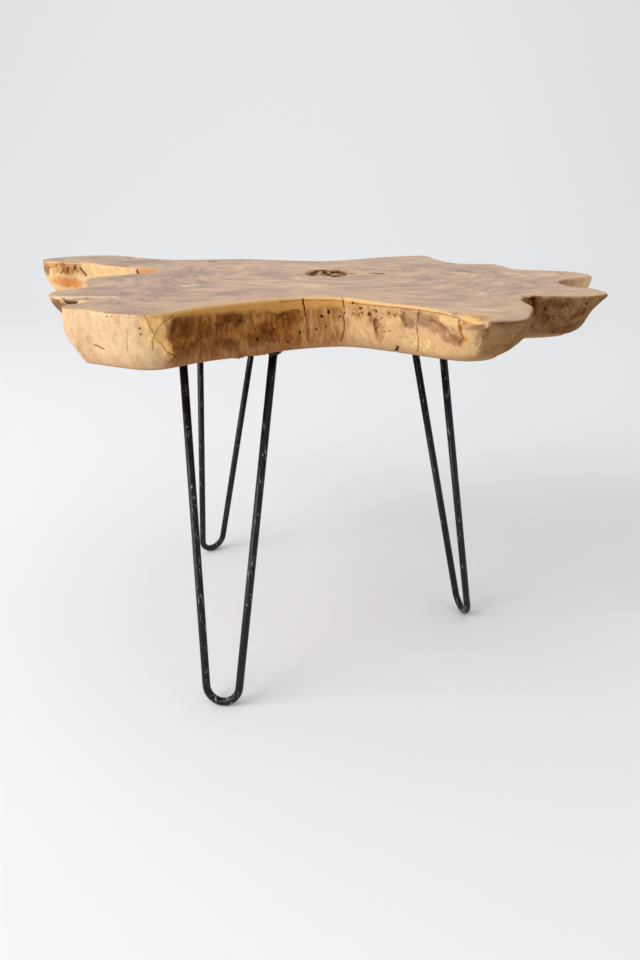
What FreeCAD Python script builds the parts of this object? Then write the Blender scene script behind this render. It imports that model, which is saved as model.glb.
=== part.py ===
import FreeCAD, Part
import Sketcher
import math
import os

# Side table: a live-edge slice of root wood carried on three hairpin legs of round bar.
# Millimetres, +Z up. The origin is on the floor, under the centre of the table's box.
# Each leg is a bent bar welded to a flat plate, and each plate is screwed to the slice from below.

DOC = FreeCAD.newDocument("RootSliceTable")
VECTOR = FreeCAD.Vector

# Every driving dimension: the alias of its cell, its value in mm or degrees, and what it measures.
SIZES = (
    ("table_height", 450, "floor to the top face of the slice"),
    ("slab_length", 734, "slice along X, over its longest roots"),
    ("slab_width", 600, "slice along Y, over its longest roots"),
    ("slab_thickness", 55, "top face to underside"),
    ("edge_round", 2.5, "sanded round along the top edge"),
    ("pith_x", 43, "centre of the rotted pith hollow"),
    ("pith_y", 75, "centre of the rotted pith hollow"),
    ("pith_length", 48, "hollow along X"),
    ("pith_width", 26, "hollow along Y"),
    ("pith_depth", 22, "hollow below the top face"),
    ("rod_diameter", 9, "round bar of the hairpin"),
    ("bend_radius", 19.3, "centre line of the bend at the foot"),
    ("leg_spread", 100, "between the two bar centres at the plate"),
    ("leg_splay", 10.6, "lean of the hairpin's plane, outwards"),
    ("front_leg_x", -64, "middle of the front bars at the plate"),
    ("front_leg_y", -135.5, "middle of the front bars at the plate"),
    ("front_leg_facing", 260, "bearing that the front leg leans towards"),
    ("right_leg_x", 160, "middle of the right bars at the plate"),
    ("right_leg_y", -9, "middle of the right bars at the plate"),
    ("right_leg_facing", 15, "bearing that the right leg leans towards"),
    ("back_leg_x", -90.5, "middle of the back bars at the plate"),
    ("back_leg_y", 158.5, "middle of the back bars at the plate"),
    ("back_leg_facing", 131, "bearing that the back leg leans towards"),
    ("plate_length", 118, "plate across the two bars"),
    ("plate_width", 36, "plate along the lean"),
    ("plate_thickness", 3, "flat bar of the plate"),
    ("plate_corner", 6, "corner radius of the plate"),
    ("plate_setback", 8, "middle of the plate in from the line of the bars"),
    ("weld_size", 2.5, "leg of the fillet weld round each bar"),
    ("weld_toe", 1.2, "bead left standing on the bar at the weld's lower edge"),
    ("screw_spacing_long", 60, "screw centres across the two bars"),
    ("screw_spacing_wide", 20, "screw centres along the lean"),
    ("screw_diameter", 4.5, "shank of the wood screw"),
    ("screw_length", 36, "head face to point"),
    ("screw_tip", 6, "tapered point"),
    ("head_diameter", 8.5, "countersunk head"),
    ("head_land", 0.6, "straight rim of the head"),
    ("recess_width", 1.4, "one slot of the cross recess"),
    ("recess_length", 5, "cross recess, tip to tip"),
    ("recess_depth", 1.8, "cross recess below the head face"),
    ("screw_clearance", 0.25, "hole in the plate over the shank, on the radius"),
    ("seat_clearance", 0.05, "between a head and its seat, and a shank and the wood"),
)

# The edge of the slice, anticlockwise from the root at the back left. Each row gives X and Y of the rim and
# X and Y of the underside's edge below it, in hundredths of the half length and half width.
RIM = (
    (-100, 82, -91, 78),
    (-95, 70, -88, 71),
    (-78, 60, -76, 64),
    (-63, 47, -61, 52),
    (-48, 30, -46, 33),
    (-57, 16, -53, 15),
    (-66, 4, -60, 3),
    (-64, -12, -56, -11),
    (-62, -24, -52, -22),
    (-67.4, -33, -54, -29),
    (-68.6, -40, -56, -37),
    (-65.5, -48, -56, -44),
    (-61, -53, -54, -50),
    (-54, -60, -51, -57),
    (-57, -70, -53, -67),
    (-50, -79, -47.5, -74),
    (-42, -86, -40, -79),
    (-33, -89, -32.5, -81),
    (-25, -78, -24.5, -73),
    (-15, -65, -15, -63),
    (-5, -56, -5, -55),
    (4, -51, 4.5, -48),
    (15, -52, 15.5, -43.5),
    (24, -62, 24.5, -47),
    (34, -72, 33, -54.5),
    (40, -82, 38.5, -59.5),
    (44, -94, 43.5, -62),
    (48, -99.7, 47.5, -63.5),
    (58, -96, 52.5, -61),
    (62, -82, 56.5, -55),
    (64.5, -67, 60.5, -50),
    (65, -54, 62, -43),
    (70, -47, 67, -34),
    (79, -46.5, 71, -30.5),
    (91, -42, 77.5, -26.5),
    (89, -28, 82, -20),
    (85, -18, 80.5, -12.5),
    (86, -4, 82, -2.5),
    (92, 2, 85, 4),
    (98.5, 10, 88.5, 11),
    (99.4, 22, 89.5, 20.5),
    (92, 31, 85, 27),
    (80, 36, 76.5, 32.5),
    (77, 47, 73, 43),
    (73, 55, 69, 50),
    (62, 61, 59, 56.5),
    (57, 74, 53.5, 68),
    (55, 88, 50.5, 80),
    (52, 99.4, 48, 87),
    (40, 96, 38, 86),
    (24, 82, 23.5, 77),
    (9, 71, 9, 67),
    (-5, 73, -5, 69),
    (-20, 82, -19.5, 77),
    (-42, 79, -41.5, 74.5),
    (-60, 84, -59.5, 79),
    (-78, 98, -76, 89),
    (-93, 93, -88, 86),
)

# The wall from the rim down to the underside: depth as a share of the wall, and how much of the run-in
# is reached there. The last step is the rounded lower edge.
WALL = ((0.0, 0.0), (0.3, 0.22), (0.6, 0.42), (0.87, 0.63), (1.0, 1.0))

# Bowls that make up the pith hollow: offset from its centre and half lengths, as shares of its own size.
PITH_BOWLS = (
    (0.18, 0.0, 0.32, 0.34, 1.0),
    (-0.02, -0.16, 0.24, 0.30, 0.7),
    (-0.34, 0.05, 0.15, 0.22, 0.5),
)

LEGS = ("front", "right", "back")

UNDERSIDE = "(Sizes.table_height - Sizes.slab_thickness)"


def make_sheet():
    sheet = DOC.addObject("Spreadsheet::Sheet", "Sizes")
    for row, (alias, value, meaning) in enumerate(SIZES, start=1):
        sheet.set(f"A{row}", meaning)
        sheet.set(f"B{row}", str(value))
        sheet.setAlias(f"B{row}", alias)
    DOC.recompute()
    return sheet


SHEET = make_sheet()


def size(alias):
    """A driving dimension's value, for geometry that is worked out here."""
    return float(getattr(SHEET, alias))


def bind(thing, **expressions):
    """Binds properties to expressions. A double underscore in a name stands for a dot."""
    for name, expression in expressions.items():
        thing.setExpression(name.replace("__", "."), expression)


def edge_points(first):
    """The points of the rim (first 0) or of the underside's edge (first 2), in mm."""
    half_length = size("slab_length") / 200
    half_width = size("slab_width") / 200
    return [VECTOR(row[first] * half_length, row[first + 1] * half_width, 0) for row in RIM]


def wall_points(run_in):
    """Points on the wall, part of the way from the rim in to the underside's edge."""
    return [rim + (low - rim) * run_in for rim, low in zip(edge_points(0), edge_points(2))]


def inset_points(inset):
    """The rim drawn inwards, square to its own run."""
    points = edge_points(0)
    drawn = []
    for before, point, after in zip(points[-1:] + points, points, points[1:] + points[:1]):
        along = (after - before).normalize()
        drawn.append(point + VECTOR(-along.y, along.x, 0) * inset)
    return drawn


def edge_parameters():
    """One spacing for every section, so that their curves line up from top to bottom."""
    points = edge_points(0)
    values = [0.0]
    for start, end in zip(points, points[1:] + points[:1]):
        values.append(values[-1] + math.sqrt((end - start).Length))
    return [value / values[-1] for value in values]


def slab_section(name, points, height):
    """A closed curve round the slice at one height."""
    curve = Part.BSplineCurve()
    curve.interpolate(Points=points, PeriodicFlag=True, Parameters=edge_parameters())
    section = DOC.addObject("Part::Feature", name)
    section.Shape = Part.Wire([curve.toShape()])
    section.Placement.Base = VECTOR(0, 0, height)
    return section


def slab_loft(name, sections):
    """A solid drawn smoothly through sections, from the lowest up."""
    loft = DOC.addObject("Part::Loft", name)
    loft.Sections = sections
    loft.Solid = True
    loft.Ruled = False
    return loft


def make_slab_blank():
    """The slice before its holes: the live edge from the underside to the rim, with the sanded edge above."""
    top = size("table_height")
    edge = size("edge_round")
    wall = size("slab_thickness") - edge
    live_edge = []
    for depth, run_in in reversed(WALL):
        live_edge.append(slab_section("wall_section", wall_points(run_in), top - edge - wall * depth))
    shoulder = edge * (1 - math.sqrt(0.5))
    sanded_edge = live_edge[-1:]
    for drop, inset in ((shoulder, shoulder), (0, edge)):
        sanded_edge.append(slab_section("edge_section", inset_points(inset), top - drop))
    blank = DOC.addObject("Part::MultiFuse", "slab_blank")
    blank.Shapes = [slab_loft("live_edge", live_edge), slab_loft("sanded_edge", sanded_edge)]
    return blank


def make_pith_bowls():
    """Bowls cut into the top face where the pith has rotted out."""
    bowls = []
    for across, along, half_long, half_wide, deep in PITH_BOWLS:
        bowl = DOC.addObject("Part::Ellipsoid", "pith_bowl")
        bowl.Angle1 = -90
        bowl.Angle2 = 90
        bind(
            bowl,
            Radius1=f"Sizes.pith_depth * {deep}",
            Radius2=f"Sizes.pith_length * {half_long}",
            Radius3=f"Sizes.pith_width * {half_wide}",
            Placement__Base__x=f"Sizes.pith_x + Sizes.pith_length * {across}",
            Placement__Base__y=f"Sizes.pith_y + Sizes.pith_width * {along}",
            Placement__Base__z="Sizes.table_height",
        )
        bowls.append(bowl)
    return bowls


def screw_places():
    """Where a plate's screws stand, in the plate's own axes, as expressions."""
    for across in (-1, 1):
        for along in (-1, 1):
            x = f"({across} * Sizes.screw_spacing_long / 2)"
            y = f"({along} * Sizes.screw_spacing_wide / 2 - Sizes.plate_setback)"
            yield x, y


def on_leg(leg, across, along):
    """Expressions for the X and Y of a point given across a leg's bars and along its lean."""
    turn = f"((Sizes.{leg}_leg_facing - 90) * 1 deg)"
    x = f"Sizes.{leg}_leg_x + cos({turn}) * {across} - sin({turn}) * {along}"
    y = f"Sizes.{leg}_leg_y + sin({turn}) * {across} + cos({turn}) * {along}"
    return x, y


def make_pilot_holes():
    """Holes in the underside that the screws bite into."""
    holes = []
    for leg in LEGS:
        for across, along in screw_places():
            hole = DOC.addObject("Part::Cylinder", f"{leg}_pilot_hole")
            x, y = on_leg(leg, across, along)
            bind(
                hole,
                Radius="Sizes.screw_diameter / 2 + Sizes.seat_clearance",
                Height="Sizes.screw_length - Sizes.plate_thickness + Sizes.seat_clearance",
                Placement__Base__x=x,
                Placement__Base__y=y,
                Placement__Base__z=UNDERSIDE,
            )
            holes.append(hole)
    return holes


def make_slab():
    cutters = DOC.addObject("Part::Compound", "slab_cutters")
    cutters.Links = make_pith_bowls() + make_pilot_holes()
    slab = DOC.addObject("Part::Cut", "slab")
    slab.Base = make_slab_blank()
    slab.Tool = cutters
    slab.Label = "root_slice_top"
    return slab


def leg_body(leg, piece):
    """A body in a leg's own axes: X across its bars, Y the way it leans, Z up from the slice's underside."""
    body = DOC.addObject("PartDesign::Body", f"{leg}_leg_{piece}")
    body.Placement = FreeCAD.Placement(VECTOR(), FreeCAD.Rotation(VECTOR(0, 0, 1), 1))
    bind(
        body,
        Placement__Base__x=f"Sizes.{leg}_leg_x",
        Placement__Base__y=f"Sizes.{leg}_leg_y",
        Placement__Base__z=UNDERSIDE,
        Placement__Rotation__Angle=f"Sizes.{leg}_leg_facing - 90",
    )
    return body


def origin_part(body, role):
    return next(part for part in body.Origin.OriginFeatures if part.Role == role)


def sketch_on(body, role, name):
    sketch = body.newObject("Sketcher::SketchObject", name)
    sketch.AttachmentSupport = [(origin_part(body, role), "")]
    sketch.MapMode = "FlatFace"
    return sketch


def hold(sketch, name, expression, *constraint):
    """Adds a driving dimension to a sketch and binds it to an expression."""
    index = sketch.addConstraint(Sketcher.Constraint(*constraint))
    sketch.renameConstraint(index, name)
    sketch.setExpression(f"Constraints.{name}", expression)


def draw_rectangle(sketch, name, length, width, middle=("0", "0")):
    """A rectangle whose sides and middle are bound to expressions."""
    corners = (VECTOR(-9, -4, 0), VECTOR(9, -4, 0), VECTOR(9, 4, 0), VECTOR(-9, 4, 0))
    first = sketch.GeometryCount
    sides = tuple(range(first, first + 4))
    for start, end in zip(corners, corners[1:] + corners[:1]):
        sketch.addGeometry(Part.LineSegment(start, end))
    for side, following in zip(sides, sides[1:] + sides[:1]):
        sketch.addConstraint(Sketcher.Constraint("Coincident", side, 2, following, 1))
    for side in sides[::2]:
        sketch.addConstraint(Sketcher.Constraint("Horizontal", side))
    for side in sides[1::2]:
        sketch.addConstraint(Sketcher.Constraint("Vertical", side))
    hold(sketch, f"{name}_length", length, "DistanceX", sides[0], 1, sides[0], 2, 18)
    hold(sketch, f"{name}_width", width, "DistanceY", sides[1], 1, sides[1], 2, 8)
    hold(sketch, f"{name}_left", f"{middle[0]} - ({length}) / 2", "DistanceX", -1, 1, sides[0], 1, -9)
    hold(sketch, f"{name}_low", f"{middle[1]} - ({width}) / 2", "DistanceY", -1, 1, sides[0], 1, -4)


def make_rod(leg):
    """One bar bent into a hairpin, with both ends cut level to sit flat against the plate."""
    body = leg_body(leg, "rod")
    spread = size("leg_spread") / 2
    bend = size("bend_radius")
    bar_width = size("rod_diameter")
    drop = size("table_height") - size("slab_thickness") - size("plate_thickness")
    path = sketch_on(body, "XZ_Plane", "path")
    path.AttachmentOffset = FreeCAD.Placement(VECTOR(), FreeCAD.Rotation(VECTOR(1, 0, 0), 1))
    bind(
        path,
        AttachmentOffset__Base__y="-Sizes.plate_thickness",
        AttachmentOffset__Rotation__Angle="Sizes.leg_splay",
    )
    low = VECTOR(0, bend - drop, 0)
    around = Part.Circle(low, VECTOR(0, 0, 1), bend)
    path.addGeometry(Part.LineSegment(VECTOR(-spread, bar_width, 0), low + VECTOR(-bend, 0, 0)))
    path.addGeometry(Part.ArcOfCircle(around, math.pi, 2 * math.pi))
    path.addGeometry(Part.LineSegment(low + VECTOR(bend, 0, 0), VECTOR(spread, bar_width, 0)))
    path.addGeometry(Part.Point(VECTOR(spread, 0, 0)), True)
    path.addConstraint(Sketcher.Constraint("Tangent", 0, 2, 1, 1))
    path.addConstraint(Sketcher.Constraint("Tangent", 1, 2, 2, 1))
    path.addConstraint(Sketcher.Constraint("PointOnObject", 1, 3, -2))
    path.addConstraint(Sketcher.Constraint("Symmetric", 0, 1, 2, 2, -2))
    path.addConstraint(Sketcher.Constraint("PointOnObject", 3, 1, -1))
    path.addConstraint(Sketcher.Constraint("PointOnObject", 3, 1, 2))
    hold(path, "bend", "Sizes.bend_radius", "Radius", 1, bend)
    hold(path, "spread", "Sizes.leg_spread / 2", "DistanceX", -1, 1, 3, 1, spread)
    hold(path, "trim", "Sizes.rod_diameter", "DistanceY", -1, 1, 2, 2, bar_width)
    level = f"({UNDERSIDE} - Sizes.plate_thickness - Sizes.rod_diameter / 2)"
    reach = f"{level} / cos(Sizes.leg_splay * 1 deg) - Sizes.bend_radius"
    hold(path, "reach", reach, "DistanceY", 1, 3, -1, 1, drop - bend)
    DOC.recompute()
    profile = body.newObject("Sketcher::SketchObject", "bar_section")
    profile.AttachmentSupport = [(path, "Edge1")]
    profile.MapMode = "NormalToEdge"
    profile.addGeometry(Part.Circle(VECTOR(), VECTOR(0, 0, 1), bar_width / 2))
    profile.addConstraint(Sketcher.Constraint("Coincident", 0, 3, -1, 1))
    hold(profile, "thickness", "Sizes.rod_diameter", "Diameter", 0, bar_width)
    bar = body.newObject("PartDesign::AdditivePipe", "bar")
    bar.Profile = profile
    bar.Spine = (path, ["Edge1", "Edge2", "Edge3"])
    trim = sketch_on(body, "XY_Plane", "trim")
    bind(trim, AttachmentOffset__Base__z="-Sizes.plate_thickness")
    draw_rectangle(trim, "trim", "Sizes.leg_spread + 4 * Sizes.rod_diameter", "6 * Sizes.rod_diameter")
    level_cut = body.newObject("PartDesign::Pocket", "level_cut")
    level_cut.Profile = trim
    level_cut.Reversed = True
    bind(level_cut, Length="4 * Sizes.rod_diameter")
    return body


def make_plate(leg):
    """A flat plate with rounded corners and four countersunk holes that open downwards."""
    body = leg_body(leg, "plate")
    outline = sketch_on(body, "XY_Plane", "outline")
    middle = ("0", "-Sizes.plate_setback")
    draw_rectangle(outline, "plate", "Sizes.plate_length", "Sizes.plate_width", middle)
    flat = body.newObject("PartDesign::Pad", "flat")
    flat.Profile = outline
    flat.Reversed = True
    bind(flat, Length="Sizes.plate_thickness")
    DOC.recompute()
    corners = body.newObject("PartDesign::Fillet", "corners")
    uprights = []
    for index, edge in enumerate(flat.Shape.Edges, start=1):
        if abs(edge.tangentAt(edge.FirstParameter).z) > 0.9:
            uprights.append(f"Edge{index}")
    corners.Base = (flat, uprights)
    bind(corners, Radius="Sizes.plate_corner")
    holes = sketch_on(body, "XY_Plane", "holes")
    bore = "Sizes.screw_diameter + 2 * Sizes.screw_clearance"
    for index, (across, along) in enumerate(screw_places()):
        holes.addGeometry(Part.Circle(VECTOR(index, index, 0), VECTOR(0, 0, 1), 2))
        hold(holes, f"hole_{index}", bore, "Diameter", index, 4)
        hold(holes, f"across_{index}", across, "DistanceX", -1, 1, index, 3, index)
        hold(holes, f"along_{index}", along, "DistanceY", -1, 1, index, 3, index)
    shanks = body.newObject("PartDesign::Pocket", "shank_holes")
    shanks.Profile = holes
    bind(shanks, Length="Sizes.plate_thickness")
    for across, along in screw_places():
        seat = body.newObject("PartDesign::SubtractiveCone", "seat")
        seat.AttachmentSupport = [(origin_part(body, "XY_Plane"), "")]
        seat.MapMode = "FlatFace"
        bind(
            seat,
            Radius1="Sizes.head_diameter / 2 + Sizes.head_land + Sizes.seat_clearance",
            Radius2="Sizes.screw_diameter / 2 + Sizes.seat_clearance",
            Height="(Sizes.head_diameter - Sizes.screw_diameter) / 2 + Sizes.head_land",
            AttachmentOffset__Base__x=across,
            AttachmentOffset__Base__y=along,
            AttachmentOffset__Base__z="-Sizes.plate_thickness",
        )
    return body


def make_welds(leg, rod):
    """A fillet bead round each bar end, up against the plate."""
    beads = []
    for side in (-1, 1):
        bead = DOC.addObject("Part::Cone", f"{leg}_bead")
        x, y = on_leg(leg, f"({side} * Sizes.leg_spread / 2)", "0")
        bind(
            bead,
            Radius1="Sizes.rod_diameter / 2 + Sizes.weld_toe",
            Radius2="Sizes.rod_diameter / 2 + Sizes.weld_size",
            Height="Sizes.weld_size",
            Placement__Base__x=x,
            Placement__Base__y=y,
            Placement__Base__z=f"{UNDERSIDE} - Sizes.plate_thickness - Sizes.weld_size",
        )
        beads.append(bead)
    pair = DOC.addObject("Part::Compound", f"{leg}_beads")
    pair.Links = beads
    welds = DOC.addObject("Part::Cut", f"{leg}_leg_welds")
    welds.Base = pair
    welds.Tool = rod
    return welds


def make_screws(leg):
    """Four countersunk screws with a cross recess, heads level with the plate's lower face."""
    screws = []
    head_face = f"({UNDERSIDE} - Sizes.plate_thickness)"
    turn = f"Sizes.{leg}_leg_facing - 90"
    shank = "Sizes.screw_diameter / 2"
    cone_rise = "(Sizes.head_diameter - Sizes.screw_diameter) / 2"
    for across, along in screw_places():
        x, y = on_leg(leg, across, along)
        rim = DOC.addObject("Part::Cylinder", f"{leg}_head_rim")
        bind(rim, Radius="Sizes.head_diameter / 2", Height="Sizes.head_land")
        rim_z = head_face
        cone = DOC.addObject("Part::Cone", f"{leg}_head_cone")
        bind(cone, Radius1="Sizes.head_diameter / 2", Radius2=shank, Height=cone_rise)
        cone_z = f"{head_face} + Sizes.head_land"
        stem = DOC.addObject("Part::Cylinder", f"{leg}_shank")
        bind(stem, Radius=shank, Height="Sizes.screw_length - Sizes.screw_tip - Sizes.head_land")
        stem_z = f"{head_face} + Sizes.head_land"
        tip = DOC.addObject("Part::Cone", f"{leg}_tip")
        tip.Radius2 = 0
        bind(tip, Radius1=shank, Height="Sizes.screw_tip")
        tip_z = f"{head_face} + Sizes.screw_length - Sizes.screw_tip"
        solids = ((rim, rim_z), (cone, cone_z), (stem, stem_z), (tip, tip_z))
        for solid, height in solids:
            bind(solid, Placement__Base__x=x, Placement__Base__y=y, Placement__Base__z=height)
        blank = DOC.addObject("Part::MultiFuse", f"{leg}_screw_blank")
        blank.Shapes = [solid for solid, _ in solids]
        blank.Refine = True
        slots = []
        for long_way, wide_way in (("length", "width"), ("width", "length")):
            slot = DOC.addObject("Part::Box", f"{leg}_slot")
            slot.Placement = FreeCAD.Placement(VECTOR(), FreeCAD.Rotation(VECTOR(0, 0, 1), 1))
            corner = on_leg(
                leg,
                f"({across} - Sizes.recess_{long_way} / 2)",
                f"({along} - Sizes.recess_{wide_way} / 2)",
            )
            bind(
                slot,
                Length=f"Sizes.recess_{long_way}",
                Width=f"Sizes.recess_{wide_way}",
                Height="Sizes.recess_depth",
                Placement__Base__x=corner[0],
                Placement__Base__y=corner[1],
                Placement__Base__z=head_face,
                Placement__Rotation__Angle=turn,
            )
            slots.append(slot)
        recess = DOC.addObject("Part::Compound", f"{leg}_recess")
        recess.Links = slots
        screw = DOC.addObject("Part::Cut", f"{leg}_screw")
        screw.Base = blank
        screw.Tool = recess
        screws.append(screw)
    group = DOC.addObject("Part::Compound", f"{leg}_leg_screws")
    group.Links = screws
    return group


def build():
    pieces = [make_slab()]
    for leg in LEGS:
        rod = make_rod(leg)
        pieces.extend((rod, make_plate(leg), make_welds(leg, rod), make_screws(leg)))
    return pieces


def check_and_write(pieces):
    """Stops at any broken object, then writes one file per piece."""
    DOC.recompute()
    for thing in DOC.Objects:
        if "Invalid" in thing.State or "Error" in thing.State:
            raise RuntimeError(f"{thing.Label} did not build: {thing.State}")
    os.makedirs("parts", exist_ok=True)
    for piece in pieces:
        if piece.Shape.isNull() or not piece.Shape.isValid():
            raise RuntimeError(f"{piece.Label} has a shape that is not valid")
        piece.Shape.exportStep(f"parts/{piece.Label}.step")


check_and_write(build())
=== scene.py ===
import math
import random
from functools import cached_property

import bmesh
import bpy
import numpy as np
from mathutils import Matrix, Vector, kdtree, noise


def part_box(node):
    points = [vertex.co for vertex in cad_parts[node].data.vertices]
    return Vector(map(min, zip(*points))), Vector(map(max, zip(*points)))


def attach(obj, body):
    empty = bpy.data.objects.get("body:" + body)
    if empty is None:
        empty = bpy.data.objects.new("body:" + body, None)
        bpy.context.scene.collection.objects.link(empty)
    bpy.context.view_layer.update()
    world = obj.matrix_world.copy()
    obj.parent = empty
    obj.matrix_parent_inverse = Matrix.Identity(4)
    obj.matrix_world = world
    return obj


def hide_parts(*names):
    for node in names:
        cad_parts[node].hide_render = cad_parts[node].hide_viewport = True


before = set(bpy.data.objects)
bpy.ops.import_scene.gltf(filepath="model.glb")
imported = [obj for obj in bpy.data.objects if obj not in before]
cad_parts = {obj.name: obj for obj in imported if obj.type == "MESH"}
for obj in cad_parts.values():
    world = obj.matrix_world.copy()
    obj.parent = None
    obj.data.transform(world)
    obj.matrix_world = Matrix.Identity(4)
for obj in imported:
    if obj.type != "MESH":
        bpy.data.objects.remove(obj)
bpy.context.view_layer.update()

bl_info = {
    "name": "Root Slice Side Table",
    "version": (1, 0, 0),
    "blender": (4, 5, 0),
    "location": "View3D > Sidebar > Root Table",
    "description": "Dresses a live-edge root slice table on three hairpin legs",
    "category": "Object",
}

SLICE_LOW, SLICE_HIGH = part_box("root_slice_top")
TOP = SLICE_HIGH.z
LEGS = ("front", "right", "back")
MM = 0.001

# Marks are placed in mm as a person sees them: X and Z on the front, on the root at the back left and on
# the back, X and Y on the top face.
SEEN_AXES = {"front": (0, 2), "root": (0, 2), "back": (0, 2), "top": (0, 1)}

# The lower edge of the sanded amber band along the front bay: X and Z.
BAND_LINE = (
    (-126, 450), (-103, 445), (-80, 443), (-35, 441), (-7, 437), (19, 438), (30, 437), (37, 440), (56, 439),
    (64, 445), (111, 447), (150, 448), (180, 449.5), (190, 450),
)

# Drying cracks and nicks: where they are seen, their run, half width, depth and how dark they look. The
# darkness is painted shade in the cut.
CRACKS = (
    ("front", ((17, 449), (18, 438), (20, 430)), 0.5, 2.5, 0.75),
    ("front", ((20, 430), (21, 416), (23, 402)), 0.35, 1.6, 0.55),
    ("front", ((57, 450), (58, 433), (59, 415), (56, 401)), 0.35, 1.8, 0.6),
    ("front", ((127, 447), (127, 431), (130, 414), (131, 399)), 0.3, 1.2, 0.5),
    ("front", ((-9, 433), (-8, 418)), 0.8, 1.2, 0.35),
    # Painted shadow in the cleft at the front right.
    ("front", ((255, 448), (257, 440), (258, 428)), 2.6, 1.5, 0.85),
    ("front", ((-3, 434), (-3, 418)), 0.6, 1.2, 0.5),
    ("front", ((2, 433), (2, 420)), 0.5, 0.8, 0.4),
    ("front", ((-14, 431), (-14, 417)), 0.8, 1.0, 0.35),
    ("front", ((5, 436), (9, 437), (13, 435)), 0.6, 1.0, 0.6),
    ("front", ((-180, 415), (-176, 415), (-170, 413)), 0.5, 1.6, 0.7),
    # Painted shadow in the cleft at the front right, where it opens into the top.
    ("front", ((241, 451), (249, 448), (256, 444)), 1.3, 5.0, 0.9),
    ("front", ((112, 402), (111, 396)), 0.8, 3.0, 0.8),
    ("front", ((-106, 412), (-100, 405)), 0.5, 1.0, 0.5),
    ("root", ((-303, 442), (-296, 432)), 1.0, 4.0, 0.8),
    ("root", ((-311, 444), (-314, 439)), 0.7, 2.0, 0.6),
    ("root", ((-321, 443), (-324, 436)), 0.6, 2.0, 0.5),
    ("root", ((-329, 440), (-333, 434)), 0.6, 2.0, 0.5),
    ("root", ((-210, 448), (-208, 440)), 1.3, 4.0, 0.8),
    # Painted shadow: the dark hole at the shaded end of the notch at the front left.
    ("front", ((-223, 448), (-217, 448)), 4.0, 7.0, 1.0),
    ("top", ((-209, -165), (-201, -160), (-188, -156), (-174, -153)), 0.6, 1.2, 0.5),
    ("top", ((-201, -156), (-200, -163)), 1.2, 3.0, 0.9),
    ("top", ((67, 66), (82, 64), (97, 64)), 0.8, 1.5, 0.6),
    ("top", ((101, 64), (107, 62), (112, 63)), 4.0, 3.0, 1.1),
    ("top", ((21, 50), (24, 84), (30, 102), (39, 104)), 4.0, 2.0, 0.9),
    ("top", ((40, 104), (41, 70), (40, 44)), 3.0, 3.0, 1.0),
    ("top", ((44, 98), (50, 96)), 6.0, 2.0, 0.8),
    ("top", ((52, 106), (52, 62)), 3.0, 4.0, 1.3),
    ("top", ((55, 104), (60, 96)), 6.0, 2.0, 0.9),
    ("top", ((60, 90), (66, 72), (74, 58)), 4.0, 1.2, 0.6),
    ("top", ((144, 88), (153, 85)), 1.6, 3.0, 0.7),
    ("top", ((212, 88), (222, 85)), 1.6, 3.0, 0.7),
)

# Scored lines that show as dark gold, not as gaps: edges of tool cuts, and the groove under the band, whose
# dark line is partly painted shadow under the band's ledge.
SCORES = (
    ("front", ((-122, 450), (-119, 442), (-116, 430), (-110, 419), (-104, 403)), 0.5, 0.5, 0.7),
    ("front", ((-100, 447), (-107, 441), (-116, 430), (-118, 425), (-118, 416)), 0.5, 0.5, 0.7),
    ("front", ((-6, 446.5), (17, 447), (57, 446.5)), 0.5, 0.8, 0.6),
    ("front", ((66, 445), (95, 446), (127, 446), (155, 447)), 0.6, 0.8, 0.6),
    ("front", ((156, 450), (157, 441), (160, 433), (163, 427), (162, 420)), 0.8, 1.2, 0.7),
    ("front", ((138, 438), (146, 435), (153, 429), (162, 422)), 1.6, 0.6, 0.5),
    ("front", ((115, 441), (113, 434), (116, 428)), 1.0, 0.5, 0.6),
    ("front", ((182, 447), (196, 446), (212, 447)), 2.2, 0.4, 0.6),
    ("front", ((179, 441), (182, 437), (180, 431)), 1.8, 0.6, 0.6),
    ("front", ((256, 445), (260, 436), (263, 426)), 3.2, 0.8, 0.55),
    ("front", ((-141, 436), (-144, 414)), 0.5, 0.4, 0.35),
    ("front", ((-193, 430), (-197, 408)), 0.7, 0.4, 0.3),
    ("root", ((-356, 446), (-330, 447), (-300, 447)), 0.8, 0.6, 0.6),
    ("top", ((150, -246), (159, -255), (170, -268), (177, -280)), 0.9, 0.4, 0.5),
)

# Worm holes: where they are seen, place, radius, depth, and how much taller than wide. Each is painted dark
# inside as shade.
WORM_HOLES = (
    ("front", (43, 433), 1.6, 6.0, 2.2),
    ("front", (36, 429), 1.6, 5.0, 1.0),
    ("front", (54, 429), 1.4, 5.0, 1.4),
    ("front", (41, 418), 1.2, 4.0, 1.0),
    ("front", (30, 415), 1.3, 4.0, 1.2),
    ("front", (14, 413), 1.4, 3.0, 1.6),
    ("front", (67, 445), 1.6, 5.0, 1.3),
    ("front", (74, 440), 1.4, 5.0, 1.2),
    ("front", (76, 436), 1.2, 4.0, 1.0),
    ("front", (82, 435), 1.2, 5.0, 2.6),
    ("front", (88, 439), 1.2, 4.0, 1.8),
    ("front", (103, 419), 1.3, 4.0, 1.0),
    ("front", (-44, 432), 1.6, 4.0, 1.0),
    ("front", (-28, 410), 1.8, 4.0, 1.0),
    ("front", (-12, 419), 1.3, 3.0, 1.2),
    ("front", (2, 404), 1.3, 4.0, 1.0),
    ("front", (-128, 437), 1.1, 3.0, 1.5),
    ("front", (-128, 431), 0.9, 2.0, 1.5),
    ("front", (-160, 447), 1.0, 2.0, 1.0),
    ("front", (-155, 447), 1.0, 2.0, 1.0),
    ("front", (277, 424), 1.9, 4.0, 1.0),
    ("front", (270, 434), 1.5, 4.0, 1.2),
    ("front", (312, 440), 1.7, 4.0, 1.0),
    ("front", (286, 406), 1.5, 3.0, 1.0),
)

# Broad bulges and hollows of the live edge: where they are seen, middle, half width and height, and swell.
SWELLS = (
    ("front", (-200, 422, 18, 20), 2.5),
    ("front", (-46, 397, 8, 5), 2.0),
    ("front", (-26, 397, 7, 5), 1.8),
    ("root", (-345, 424, 24, 20), 2.5),
)

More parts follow.
